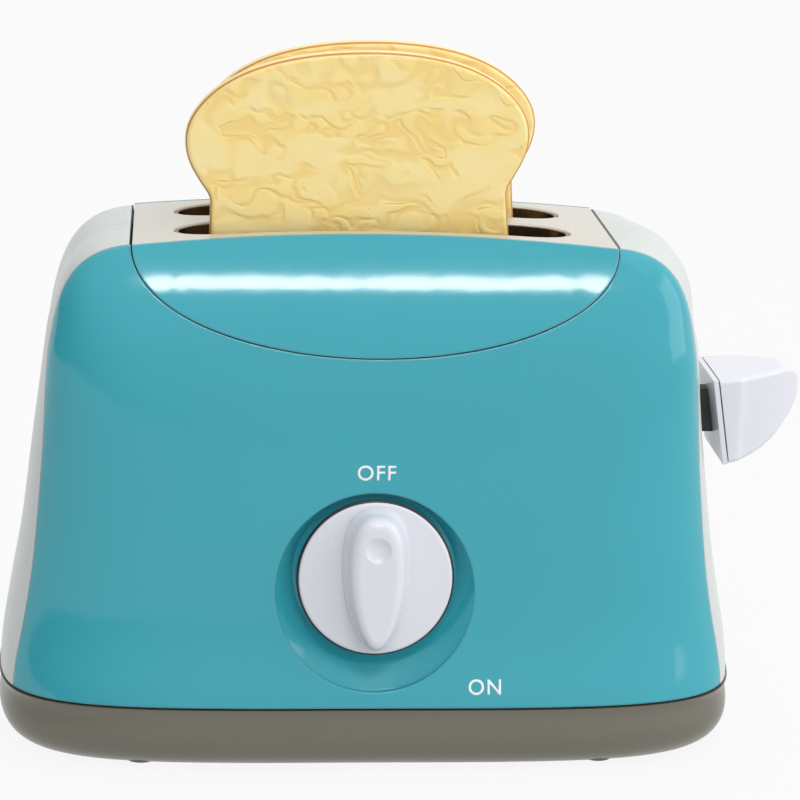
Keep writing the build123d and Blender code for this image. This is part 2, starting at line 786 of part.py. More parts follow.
def neck_bar(reach):
    start = rod_x + block_length / 2
    return box(start, reach, -neck_thickness / 2, neck_thickness / 2, neck_bottom, neck_top)


def lever_arm():
    """Black neck from the carriage, through the side wall, into the handle."""
    start = rod_x + block_length / 2
    arm = neck_bar(handle_reach - handle_socket)
    arm = arm + box(start, start + arm_pad_thickness, -arm_pad_half_depth, arm_pad_half_depth,
                    block_bottom, block_top)
    for z in lever_screw_heights():
        arm = arm - bar((start - 1, lever_screw_y(z), z), (start + arm_pad_thickness + 1, lever_screw_y(z), z),
                        screw_radius + screw_way)
    return arm


def lever_screws():
    seat = rod_x + block_length / 2 + arm_pad_thickness
    return Compound(children=[screw((seat, lever_screw_y(z), z), (-1, 0, 0), lever_screw_length)
                              for z in lever_screw_heights()])


# ---------------------------------------------------------------- toast
def toast_slice(x_centre, y_centre, tilt):
    """Slice of bread: narrow waist under two rounded ears and a domed crust."""
    # right half of the crust: shares of the half width and of the height
    shape = [(0.863, 0.622), (0.935, 0.675), (0.986, 0.727), (0.99, 0.805), (0.91, 0.87), (0.74, 0.932),
             (0.42, 0.983), (0.0, 1.0)]
    foot = toast_foot_half_width
    right = [(toast_half_width * u, toast_height * v) for u, v in shape]
    left = [(-x, z) for x, z in reversed(right[:-1])]
    crust = Spline(*right, *left)
    sides = [Line(left[-1], (-foot, 0)), Line((-foot, 0), (foot, 0)), Line((foot, 0), right[0])]
    outline = make_face([crust] + sides)
    outline = fillet([point for point in outline.vertices() if point.Y > 1], toast_waist)
    body = extrude(Plane.XZ.offset(-toast_thickness / 2) * outline, toast_thickness)
    corners = [edge for edge in body.edges() if edge.center().Z < 1 and abs(edge.center().Y) < 0.01]
    body = fillet([edge for edge in corners if abs(edge.center().X) > foot - 1], toast_corner)
    rims = [edge for edge in body.edges() if abs(abs(edge.center().Y) - toast_thickness / 2) < 0.01]
    body = fillet(rims, toast_edge)
    lowest = (foot - toast_corner) * sin(radians(abs(tilt)))
    return Pos(x_centre, y_centre, toast_rest + lowest) * Rot(0, -tilt, 0) * body


# ---------------------------------------------------------------- knob and timer
def knob_grip():
    """Teardrop ridge across the knob: wide above, narrower below, domed."""
    foot = -dish_depth + knob_under + knob_thickness
    half_length = grip_length / 2
    half_width = grip_width / 2
    sections = []
    for rise, pull in ((-0.5, 0.0), (0.35, 0.5), (0.7, 1.1), (0.88, 1.9), (0.97, 3.1), (1.0, 4.8)):
        height = foot + grip_height * rise if rise > 0 else foot - 1.0
        points = []
        for step in range(24):
            angle = 2 * pi * step / 24
            broad = 1.0 + 0.16 * sin(angle)
            power = grip_blunt if sin(angle) > 0 else 1.0
            x = (half_width - pull) * broad * copysign(abs(cos(angle)) ** power, cos(angle))
            y = (half_length - pull) * copysign(abs(sin(angle)) ** power, sin(angle)) - grip_drop
            points.append((x, y, height))
        sections.append(Face(Wire([Spline(*points, periodic=True)])))
    return dial * loft(sections)


def knob():
    """White turning knob with a thumb ridge; its stem takes the shaft."""
    disc_foot = dish_depth - knob_under
    disc = dial * (Pos(0, 0, knob_thickness / 2 - disc_foot)
                   * Cone(knob_radius - knob_undercut, knob_radius, knob_thickness))
    outer_face = disc.faces().sort_by(Axis((0, 0, 0), dial.z_dir))[-1]
    disc = fillet(outer_face.edges(), knob_edge)
    body = disc + knob_grip()
    body = body + dial_disc(knob_stem_radius, disc_foot - 0.5, timer_front - 1.0)
    top = grip_height + knob_thickness - disc_foot
    thumb_ball = thumb_radius ** 2 / (2 * thumb_depth) + thumb_depth / 2
    body = body - dial * (Pos(0, thumb_rise, top + thumb_ball - thumb_depth) * Sphere(thumb_ball))
    return body - dial_disc(shaft_radius, 0.5, timer_front)


def knob_shaft():
    return dial_disc(shaft_radius, 0.5, timer_back + timer_plate_thickness + 1.5)


def timer_plate(outer):
    plate = dial_box(-timer_half_width, timer_half_width, -timer_half_height, timer_half_height,
                     outer, outer + timer_plate_thickness)
    plate = plate - dial_disc(shaft_radius + bore_clearance, outer - 1, outer + 3)
    for u, v in timer_posts:
        plate = plate - dial_disc(screw_radius + screw_way, outer - 1, outer + 3, u, v)
    return plate


def timer_front_plate():
    plate = timer_plate(timer_front)
    return plate - dial_disc(damper_pivot_radius + bore_clearance, timer_front - 1, timer_front + 3, damper_u)


def timer_back_plate():
    return timer_plate(timer_back)


def timer_spacers():
    tubes = []
    for u, v in timer_posts:
        tube = dial_disc(spacer_radius, timer_front + timer_plate_thickness, timer_back, u, v)
        tubes.append(tube - dial_disc(screw_radius + screw_way, timer_front, timer_back + 1, u, v))
    return Compound(children=tubes)


def timer_screws():
    seat = timer_back + timer_plate_thickness
    screws = []
    for u, v in timer_posts:
        origin = dial.from_local_coords(Vector(u, v, -seat))
        screws.append(screw(origin, dial.z_dir, seat - dish_depth - wall))
    return Compound(children=screws)


def gear(teeth, phase, outer, bore):
    """Spur gear in the dial plane with slim straight-flanked teeth."""
    pitch_radius = gear_module * teeth / 2
    tip = pitch_radius + 0.85 * gear_module
    root = pitch_radius - 1.1 * gear_module
    tooth = 2 * pi / teeth
    points = []
    for index in range(teeth):
        middle = phase + index * tooth
        for radius, share in ((root, -0.29), (tip, -0.11), (tip, 0.11), (root, 0.29)):
            angle = middle + share * tooth
            points.append((radius * cos(angle), radius * sin(angle)))
    face = make_face(Polyline(*points, close=True))
    wheel = extrude(Plane.XY.offset(-outer - gear_face) * face, gear_face)
    return dial * wheel if bore == 0 else dial * (wheel - Pos(0, 0, -outer) * Cylinder(bore, 20))


def drive_gear():
    return gear(drive_teeth, 0.0, gear_depth, shaft_radius)


def damper_gear():
    """Pinion and its shaft; the rear end turns inside the damper."""
    half_tooth = pi + pi / damper_teeth
    pinion = gear(damper_teeth, half_tooth, gear_depth - 0.2, 0)
    shift = dial.x_dir * damper_u
    pinion = Pos(shift.X, shift.Y, shift.Z) * pinion
    plate_back = timer_front + timer_plate_thickness
    shaft_end = damper_depth + damper_bore_depth - clear
    shaft = dial_disc(damper_shaft_radius, plate_back + clear, shaft_end, damper_u)
    pivot = dial_disc(damper_pivot_radius, timer_front, plate_back + 0.5, damper_u)
    return pinion + shaft + pivot


def rotary_damper():
    """Sealed grease damper that slows the knob's way back."""
    case = dial_disc(damper_radius, damper_depth, damper_depth + damper_length, damper_u)
    case = case + dial_box(damper_u - damper_foot, damper_u + damper_foot, -damper_foot, damper_foot,
                           damper_depth + damper_length - 0.5, timer_back)
    return case - dial_disc(damper_shaft_radius + bore_clearance, damper_depth - 1,
                            damper_depth + damper_bore_depth, damper_u)


def trip_cam():
    """Snail cam: its radius falls evenly over the knob's turn and frees the latch at the end."""
    points = []
    steps = 27
    for step in range(steps + 1):
        share = step / steps
        angle = radians(-90 - 6 + (knob_turn + 12) * share)
        even = min(1.0, max(0.0, (share * (knob_turn + 12) - 6) / knob_turn))
        radius = cam_high - (cam_high - cam_low) * even
        points.append((radius * cos(angle), radius * sin(angle)))
    last = -90 + knob_turn + 6
    low_arc = [radians(last + (354 - knob_turn - 6 - last - 90) * step / 12) for step in range(1, 12)]
    for angle in low_arc:
        points.append((cam_low * cos(angle), cam_low * sin(angle)))
    face = make_face(Polyline(*points, close=True))
    cam = extrude(Plane.XY.offset(-cam_depth - cam_thickness) * face, cam_thickness)
    return dial * cam - dial_disc(shaft_radius, 0, 40)


def timer_spring():
    """Flat coil spring that turns the knob back."""
    steps = int(coil_turns * 20)
    growth = (coil_outer - coil_inner) / steps
    outer_line = []
    inner_line = []
    for step in range(steps + 1):
        angle = 2 * pi * step / 20
        radius = coil_inner + growth * step
        inner_line.append((radius * cos(angle), radius * sin(angle)))
        outer_line.append(((radius + coil_strip) * cos(angle), (radius + coil_strip) * sin(angle)))
    strip = Polyline(*inner_line, *reversed(outer_line), close=True)
    coil = extrude(Plane.XY.offset(-coil_depth - coil_width) * make_face(strip), coil_width)
    anchor = dial_box(-coil_outer - 1.5, -coil_outer, -1, 1, coil_depth, timer_back)
    return dial * coil + anchor


# ---------------------------------------------------------------- latch
def latch_hook():
    """Bell crank: a finger under the cam, a hook beside the carriage's catch."""
    outer = cam_depth
    inner = cam_depth + cam_thickness
    finger_v = -cam_high - cam_follow
    depth = -(outer + inner) / 2
    arm_length = sqrt(latch_u ** 2 + (finger_v - latch_arm / 2 - latch_v) ** 2)
    arm_angle = degrees(atan2(finger_v - latch_arm / 2 - latch_v, -latch_u))
    arm = Pos(latch_u, latch_v, depth) * Rot(0, 0, arm_angle) * Pos(arm_length / 2, 0, 0) * Box(
        arm_length, latch_arm, cam_thickness)
    finger = Pos(0, finger_v - latch_arm / 2, depth) * Cylinder(latch_arm / 2, cam_thickness)
    eye = Pos(latch_u, latch_v, depth) * Cylinder(latch_eye, cam_thickness)
    hook_low = hook_base()
    upright = Pos(latch_u, (latch_v + hook_low + hook_thickness) / 2, depth) * Box(
        latch_arm, hook_low + hook_thickness - latch_v, cam_thickness)
    nose = Pos(latch_u + latch_arm / 2 + hook_length / 2 - 0.5, hook_low + hook_thickness / 2, depth) * Box(
        hook_length + 1, hook_thickness, cam_thickness)
    swing = Pos(latch_u, latch_v, 0) * Rot(0, 0, hook_release()) * Pos(-latch_u, -latch_v, 0)
    crank = arm + finger + eye + (swing * (upright + nose))
    crank = crank - Pos(latch_u, latch_v, depth) * Cylinder(latch_pin_radius + bore_clearance, 20)
    return dial * crank


def hook_release():
    """Latch angle between free and hooked."""
    return degrees((cam_high - cam_low) / latch_u)


def hook_base():
    """Underside of the hook, just over the catch when the carriage is down."""
    catch_top = block_bottom + catch_thickness - lever_travel
    lean_drop = (cam_depth + cam_thickness) * sin(radians(dial_lean))
    return (catch_top - dial_height + lean_drop) / cos(radians(dial_lean)) + latch_overhang


def latch_pin():
    pin_end = cam_depth + cam_thickness + latch_pin_depth
    pin = dial_disc(latch_pin_radius, cam_depth - 0.4, pin_end, latch_u, latch_v)
    return pin + dial_disc(latch_pin_head, cam_depth - 1.4, cam_depth - clear, latch_u, latch_v)


# ---------------------------------------------------------------- bell
def bell_post():
    floor_top = base_floor + floor_thickness
    post = rod(bell_x, bell_y, floor_top, bell_seat, bell_post_radius)
    return post - rod(bell_x, bell_y, bell_seat - bell_screw_length, bell_seat + 1, screw_radius)


def bell_cup():
    """Spun bell, open downwards."""
    outer = Pos(bell_x, bell_y, bell_seat - bell_height + bell_wall) * Sphere(bell_radius)
    inner = Pos(bell_x, bell_y, bell_seat - bell_height) * Sphere(bell_radius - bell_wall)
    reach = 2 * bell_radius
    cup_zone = box(bell_x - reach, bell_x + reach, bell_y - reach, bell_y + reach,
                   bell_seat - bell_height, bell_seat + bell_wall)
    cup = (outer & cup_zone) - (inner & box(-200, 200, -200, 200, 0, bell_seat))
    return cup - rod(bell_x, bell_y, 0, 100, screw_radius + screw_way)


def bell_screw():
    return screw((bell_x, bell_y, bell_seat + bell_wall), (0, 0, -1), bell_screw_length)


def striker_ball_place():
    reach = bell_radius + striker_ball + striker_gap
    return bell_x + reach * 0.985, bell_y + reach * 0.174


def bell_striker():
    """Hammer on a sprung arm beside the bell."""
    ball_x, ball_y = striker_ball_place()
    height = striker_height - striker_arm / 2
    ball_height = bell_seat - bell_height + striker_ball_rise
    hub = rod(striker_x, striker_y, striker_height - striker_arm + clear, striker_height + clear,
              striker_hub_radius)
    arm = bar((striker_x, striker_y, height + clear), (ball_x, ball_y, height + clear), striker_arm_radius)
    ball = Pos(ball_x, ball_y, ball_height) * Sphere(striker_ball)
    drop = rod(ball_x, ball_y, ball_height, height + clear, striker_arm_radius)
    striker = hub + arm + ball + drop
    return striker - rod(striker_x, striker_y, 0, 100, striker_pin_radius + bore_clearance)


def striker_pin():
    pin = rod(striker_x, striker_y, striker_height - striker_pin_depth, striker_height + 1.0,
              striker_pin_radius)
    return pin + rod(striker_x, striker_y, striker_height + 2 * clear, striker_height + 1.8, striker_pin_head)


# ---------------------------------------------------------------- screws through the body
def body_screws_set():
    return Compound(children=[screw((x, body_screw_seat, z), (0, -1, 0), body_screw_length)
                              for x, z in body_screws])


def base_screws_set():
    return Compound(children=[screw((x, y, base_screw_seat()), (0, 0, 1), base_screw_length)
                              for x, y in base_screws_at])


def saddle_screws():
    return Compound(children=[screw((side * saddle_post_x, 0, frame_height), (0, 0, 1), saddle_screw_length)
                              for side in side_sign])


nodes = {
    "base_tray": base_tray,
    "rubber_feet": rubber_feet,
    "front_panel": front_panel,
    "rear_panel": rear_panel,
    "front_shell": front_shell,
    "rear_shell": rear_shell,
    "saddle_cover": saddle_cover,
    "slot_plate": slot_plate,
    "front_bread_well": lambda: bread_well(-slot_y),
    "rear_bread_well": lambda: bread_well(slot_y),
    "well_frame": well_frame,
    "left_guide_rod": lambda: guide_rod(-1),
    "right_guide_rod": lambda: guide_rod(1),
    "left_lift_spring": lambda: lift_spring(-1),
    "right_lift_spring": lambda: lift_spring(1),
    "toast_carriage": toast_carriage,
    "lever_arm": lever_arm,
    "lever_back_plate": lever_back_plate,
    "lever_cap": lever_cap,
    "lever_screws": lever_screws,
    "knob": knob,
    "knob_shaft": knob_shaft,
    "timer_front_plate": timer_front_plate,
    "timer_back_plate": timer_back_plate,
    "timer_spacers": timer_spacers,
    "timer_screws": timer_screws,
    "drive_gear": drive_gear,
    "trip_cam": trip_cam,
    "timer_spring": timer_spring,
    "damper_gear": damper_gear,
    "rotary_damper": rotary_damper,
    "latch_hook": latch_hook,
    "latch_pin": latch_pin,
    "bell_cup": bell_cup,
    "bell_post": bell_post,
    "bell_screw": bell_screw,
    "bell_striker": bell_striker,
    "striker_pin": striker_pin,
    "body_screws": body_screws_set,
    "base_screws": base_screws_set,
    "saddle_screws": saddle_screws,
    "toast_front": lambda: toast_slice(front_slice_shift, -slot_y - front_slice_ahead, front_slice_tilt),
    "toast_rear": lambda: toast_slice(rear_slice_shift, slot_y - rear_slice_ahead, rear_slice_tilt),
}


def main():
    for name, make in nodes.items():
        save(name, make())


if __name__ == "__main__":
    main()
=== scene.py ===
"""Finishes and stage for a toy toaster, laid out as an add-on and run as a script."""

import math

import bmesh
import bpy
from mathutils import Matrix, Vector
from mathutils.bvhtree import BVHTree


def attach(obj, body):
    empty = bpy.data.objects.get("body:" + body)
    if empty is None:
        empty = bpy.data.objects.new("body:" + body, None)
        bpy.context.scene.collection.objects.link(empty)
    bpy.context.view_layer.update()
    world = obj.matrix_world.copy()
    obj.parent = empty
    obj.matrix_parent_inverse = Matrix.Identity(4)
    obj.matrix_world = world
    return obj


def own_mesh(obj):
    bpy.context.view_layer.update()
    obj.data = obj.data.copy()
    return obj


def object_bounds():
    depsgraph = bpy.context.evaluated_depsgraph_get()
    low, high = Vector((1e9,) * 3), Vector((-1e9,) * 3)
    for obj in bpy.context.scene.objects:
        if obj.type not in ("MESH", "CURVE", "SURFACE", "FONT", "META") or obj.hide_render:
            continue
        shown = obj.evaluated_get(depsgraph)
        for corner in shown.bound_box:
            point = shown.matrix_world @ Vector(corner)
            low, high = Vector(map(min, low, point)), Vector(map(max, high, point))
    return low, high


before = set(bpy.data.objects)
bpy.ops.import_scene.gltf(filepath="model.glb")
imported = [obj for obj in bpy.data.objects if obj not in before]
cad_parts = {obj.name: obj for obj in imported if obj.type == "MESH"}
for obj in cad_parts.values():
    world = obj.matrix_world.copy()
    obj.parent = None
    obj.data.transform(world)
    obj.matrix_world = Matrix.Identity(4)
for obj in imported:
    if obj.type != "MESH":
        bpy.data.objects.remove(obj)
cad_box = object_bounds()

bl_info = {
    "name": "Toy Toaster",
    "version": (1, 0, 0),
    "blender": (4, 5, 0),
    "location": "3D View > Sidebar > Toaster",
    "description": "Finishes, printed words and a studio stage for a toy toaster",
    "category": "Object",
}

# where the knob's axis meets the front face, in metres, and how far the face leans back there
DIAL_PLACE = Vector((0, -0.0574, 0.06))
DIAL_LEAN = math.radians(7.0)
RING_SIDES = 12                 # corners of the ring's section
RING_STEPS = 128                # faces round the ring

# letters: height of a capital as a share of the font size, longest edge left undivided, gap under the ink
CAP_SHARE = 0.73
LETTER_EDGE = 0.0008
INK_GAP = 0.00001

# sizes of the surface patterns, in millimetres
FLOW_MM = 45.0                  # pale and dark clouds where the plastic flowed
RUB_MM = 6.0                    # patches of slightly different gloss
RIPPLE_MM = 14.0                # waves left by the polished tool
EDGE_HIGHLIGHT_MM = 0.5            # width of the painted highlight line along rounded edges
FLAKE_MM = 0.25                 # silver pigment; real flakes are 0.05 mm, drawn larger so that they show
CLOUD_MM = 30.0                 # drift of the pigment
GRAIN_MM = 0.4                  # grain of drawn wire
DUST_MM = 2.0                   # dust on rubber
INK_GRAIN_MM = 0.5              # grain of printed ink
SWELL_MM = 9.0                  # cushions of the crumb pattern
BROAD_MM = 28.0                 # slow change of the bread's colour
WANDER_MM = 12.0                # how the crumb strokes wander, and how far, in metres
WANDER_REACH = 0.014
STROKES_MM = ((12.0, 15.0), (6.5, 9.0))    # spacing of the crumb strokes and length of their breaks

# the studio, in metres
FLOOR_HALF = 8.0
FLOOR_WHITE_SHARE = 0.9         # share of the floor that is plain white; the rest keeps the shadow
LAMPS = (                       # name, place, width and height
    ("strip", (0.1, -1.05, 1.235), (0.5, 0.11)),
    ("overhead", (0.4, -0.1, 1.9), (1.6, 1.6)),
    ("side", (1.7, -0.55, 0.9), (1.4, 1.4)),
)
BRIGHT_WAY = (0.85, 0.1, 0.5)   # the surround is brightest towards here
CAMERA_PLACE = (-0.06150, -0.86007, 0.33237)
CAMERA_RIGHT = (0.99764, -0.06482, 0.02246)
CAMERA_UP = (-0.00352, 0.27870, 0.96037)
CAMERA_SHIFT = (0.0444, 0.0628)


# ---------------------------------------------------------------- colour and units
def hex_colour(code):
    """sRGB hex to the linear colour the shaders take."""
    channels = [int(code[i:i + 2], 16) / 255 for i in (0, 2, 4)]
    linear = [c / 12.92 if c <= 0.04045 else ((c + 0.055) / 1.055) ** 2.4 for c in channels]
    return (*linear, 1.0)


def per_mm(size):
    """Noise scale that gives features of about this many millimetres."""
    return 1000.0 / size


def colour(name, description, code):
    return bpy.props.FloatVectorProperty(
        name=name, description=description, default=hex_colour(code),
        subtype="COLOR", size=4, min=0.0, max=1.0)


# ---------------------------------------------------------------- properties
class ToasterColours(bpy.types.PropertyGroup):
    """Colours of the toy's plastics, bread and print."""

    cover: colour("Covers", "Front and rear covers and the crescent", "34A3B3")
    band: colour("Side band", "Pale shells at the two ends", "C9D1CF")
    # one silver pigment: the plate's light shade is painted light and the base's dark shade painted shade,
    # for the white above and the dark below that each reflects
    plate: colour("Slot plate", "Plate with the bread slots", "C9C6BC")
    base: colour("Base", "Silver-grey base tray", "6F6B60")
    white: colour("Knob and handle", "White moulded parts", "DFE0E8")
    neck: colour("Lever neck", "Black neck of the lever", "2B2D31")
    bread: colour("Bread", "Slices of toast", "FFE293")
    bread_light: colour("Bread, raised", "Crests of the crumb pattern", "FFECB0")
    # painted shade: darker yellow coloured into the grooves of the crumb strokes
    bread_groove_shade: colour("Bread, hollows", "Hollows of the crumb pattern", "F6D27C")
    crust: colour("Crust line", "Thin line round each slice", "C98A3C")
    well: colour("Bread wells", "Inside of the slots", "5A463A")
    print_ink: colour("Print", "Printed words", "F4F8F8")
    # painted shadow: the knob ring's near-black stands in for the shadow gap round the knob
    ring: colour("Knob ring", "Thin ring round the knob", "16181B")


class ToasterPrint(bpy.types.PropertyGroup):
    """The two printed words beside the knob."""

    cap_height: bpy.props.FloatProperty(
        name="Letter height", description="Height of the capitals", default=0.0046, unit="LENGTH")
    ink_depth: bpy.props.FloatProperty(
        name="Ink thickness", description="Thickness of the printed layer", default=0.00006, unit="LENGTH")
    off_height: bpy.props.FloatProperty(
        name="OFF height", description="Height of the upper word's middle", default=0.0911, unit="LENGTH")
    on_height: bpy.props.FloatProperty(
        name="ON height", description="Height of the lower word's middle", default=0.0271, unit="LENGTH")
    on_across: bpy.props.FloatProperty(
        name="ON across", description="Distance of the lower word to the right of the knob",
        default=0.0335, unit="LENGTH")
    stroke: bpy.props.FloatProperty(
        name="Extra stroke", description="How much thicker than the font each letter is, on each side",
        default=0.00006, precision=6, unit="LENGTH")
    spacing: bpy.props.FloatProperty(
        name="Letter spacing", description="Distance between letters, as a multiple of the font's own",
        default=1.12)


class ToasterKnobShadowRing(bpy.types.PropertyGroup):
    """The thin black ring round the knob's rim: painted shadow standing in for the shadow gap round the knob.
    """

    radius: bpy.props.FloatProperty(
        name="Ring radius", description="Outer radius of the ring", default=0.02375, unit="LENGTH")
    width: bpy.props.FloatProperty(
        name="Ring width", description="Width of the ring across its section", default=0.0014, unit="LENGTH")
    proud: bpy.props.FloatProperty(
        name="Ring height", description="Height of the ring's middle over the face round the dish",
        default=0.0006, unit="LENGTH")


class ToasterStage(bpy.types.PropertyGroup):
    """Lamps, floor and camera."""

    strip_power: bpy.props.FloatProperty(
        name="Strip", description="Power of the long strip light in front", default=3.6, unit="POWER")
    overhead_power: bpy.props.FloatProperty(
        name="Overhead", description="Power of the overhead panel", default=2.5, unit="POWER")
    side_power: bpy.props.FloatProperty(
        name="Side", description="Power of the large softbox at the right", default=8.6, unit="POWER")
    surround_dark: bpy.props.FloatProperty(
        name="Surround, dark side", description="Strength of the surround low at the left",
        default=0.2, min=0.0, max=1.0)
    lens: bpy.props.FloatProperty(
        name="Lens", description="Focal length on a 36 mm sensor, in millimetres", default=127.42)


GROUPS = (("toaster_colours", ToasterColours), ("toaster_print", ToasterPrint),
          ("toaster_knob_ring", ToasterKnobShadowRing), ("toaster_stage", ToasterStage))


# ---------------------------------------------------------------- materials
def add_node(tree, kind, links=(), **settings):
    """One shader node: settings are properties or socket values, links are (socket, output) pairs."""
    node = tree.nodes.new(kind)
    for key, value in settings.items():
        if hasattr(node, key):
            setattr(node, key, value)
        else:
            node.inputs[key.replace("_", " ")].default_value = value
    for socket, output in links:
        tree.links.new(output, node.inputs[socket])
    return node


def new_material(name):
    material = bpy.data.materials.new(name)
    material.use_nodes = True
    tree = material.node_tree
    return material, tree, tree.nodes["Principled BSDF"]


def object_place(tree):
    return add_node(tree, "ShaderNodeTexCoord").outputs["Object"]


def put(tree, socket, value):
    """A link where the value comes from another node, or else a plain setting."""
    if hasattr(value, "is_linked"):
        tree.links.new(value, socket)
    else:
        socket.default_value = value


def reckon(tree, operation, *values):
    """One step of arithmetic on values or outputs."""
    node = add_node(tree, "ShaderNodeMath", operation=operation)
    for socket, value in zip(node.inputs, values):
        put(tree, socket, value)
    return node.outputs["Value"]


def noise(tree, place, size_mm, detail=2.0):
    return add_node(tree, "ShaderNodeTexNoise", [("Vector", place)], Scale=per_mm(size_mm),
                    Detail=detail).outputs["Fac"]


def spread(tree, value, low, high):
    """A 0 to 1 value stretched to low to high."""
    return add_node(tree, "ShaderNodeMapRange", [("Value", value)], To_Min=low, To_Max=high).outputs["Result"]


def mixed(tree, value, first, second):
    """Colour between two shades by a value."""
    node = add_node(tree, "ShaderNodeMix", data_type="RGBA")
    # the node has sockets A and B for each data type: these are the factor and the two colours
    for socket, part in ((0, value), (6, first), (7, second)):
        put(tree, node.inputs[socket], part)
    return node.outputs[2]


def shade_of(shade, factor):
    """The shade made lighter or darker."""
    return (*[min(1.0, c * factor) for c in shade[:3]], 1.0)


def bump(tree, height, distance_mm, strength=1.0, edge_mm=0.0):
    """Surface relief, over edges softened by a radius."""
    node = add_node(tree, "ShaderNodeBump", [("Height", height)], Distance=distance_mm / 1000,
                    Strength=strength)
    if edge_mm:
        soft = add_node(tree, "ShaderNodeBevel", Radius=edge_mm / 1000, samples=6)
        tree.links.new(soft.outputs["Normal"], node.inputs["Normal"])
    return node.outputs["Normal"]


def ramp(tree, value, low, high, start=0.0, end=1.0):
    """A smooth step between two values."""
    return add_node(tree, "ShaderNodeMapRange", [("Value", value)], interpolation_type="SMOOTHSTEP",
                    From_Min=low, From_Max=high, To_Min=start, To_Max=end).outputs["Result"]


def edge_share(tree, edge_mm):
    """1 on rounded-over edges within a distance, 0 on open faces."""
    soft = add_node(tree, "ShaderNodeBevel", Radius=edge_mm / 1000, samples=8).outputs["Normal"]
    plain = add_node(tree, "ShaderNodeNewGeometry").outputs["Normal"]
    same = add_node(tree, "ShaderNodeVectorMath", [(0, soft), (1, plain)], operation="DOT_PRODUCT")
    return ramp(tree, same.outputs["Value"], 0.8, 0.98, 1.0, 0.0)


def moulded_abs(name, shade, roughness, ripple_mm=0.012, mottle=0.04, edge_mm=0.0, edge_highlight=0.0):
    """Injection-moulded ABS: even colour, a faint flow mottle and the soft ripple of a polished tool.

    ripple_mm is the ripple's height, edge_mm the radius of the edges, and the last argument how much paler
    those edges are painted: a painted highlight.
    """
    material, tree, shader = new_material(name)
    place = object_place(tree)
    flow = noise(tree, place, FLOW_MM, 3.0)
    even = mixed(tree, flow, shade_of(shade, 1 - mottle), shade_of(shade, 1 + mottle))
    if edge_highlight:
        # painted highlight: rounded edges coloured paler, standing in for the light they catch
        painted_highlight = mixed(tree, flow, (*[c + (1 - c) * edge_highlight for c in shade[:3]], 1.0), shade)
        even = mixed(tree, edge_share(tree, EDGE_HIGHLIGHT_MM), even, painted_highlight)
    tree.links.new(even, shader.inputs["Base Color"])
    rub = noise(tree, place, RUB_MM, 4.0)
    tree.links.new(spread(tree, rub, roughness * 0.85, roughness * 1.15), shader.inputs["Roughness"])
    ripple = noise(tree, place, RIPPLE_MM, 1.0)
    tree.links.new(bump(tree, ripple, ripple_mm, 1.0, edge_mm), shader.inputs["Normal"])
    shader.inputs["IOR"].default_value = 1.53
    return material


def pearl_abs(name, shade, metallic, roughness):
    """ABS with silver pigment: fine flakes that shine unevenly, under a satin tool finish."""
    material, tree, shader = new_material(name)
    place = object_place(tree)
    flakes = add_node(tree, "ShaderNodeTexVoronoi", [("Vector", place)], Scale=per_mm(FLAKE_MM))
    sparkle = add_node(tree, "ShaderNodeSeparateColor", [("Color", flakes.outputs["Color"])]).outputs["Red"]
    cloud = noise(tree, place, CLOUD_MM, 2.0)
    shaded = mixed(tree, cloud, shade_of(shade, 0.95), shade_of(shade, 1.05))
    tree.links.new(mixed(tree, spread(tree, sparkle, 0.0, 0.35), shaded, shade_of(shade, 1.3)),
                   shader.inputs["Base Color"])
    tree.links.new(spread(tree, sparkle, roughness * 0.9, roughness * 1.15), shader.inputs["Roughness"])
    tree.links.new(bump(tree, sparkle, 0.006, 1.0, 0.4), shader.inputs["Normal"])
    shader.inputs["Metallic"].default_value = metallic
    shader.inputs["Coat Weight"].default_value = 0.25
    shader.inputs["Coat Roughness"].default_value = 0.12
    return material


def crumb_strokes(tree, place, size_mm, reach_mm):
    """Short wandering strokes, 1 in the middle of a stroke and 0 away from it."""
    off = reckon(tree, "ABSOLUTE", reckon(tree, "SUBTRACT", noise(tree, place, size_mm, 1.0), 0.5))
    stroke = ramp(tree, off, 0.0, 0.11, 1.0, 0.0)
    broken = ramp(tree, noise(tree, place, reach_mm, 0.0), 0.42, 0.56)
    return reckon(tree, "MULTIPLY", stroke, broken)


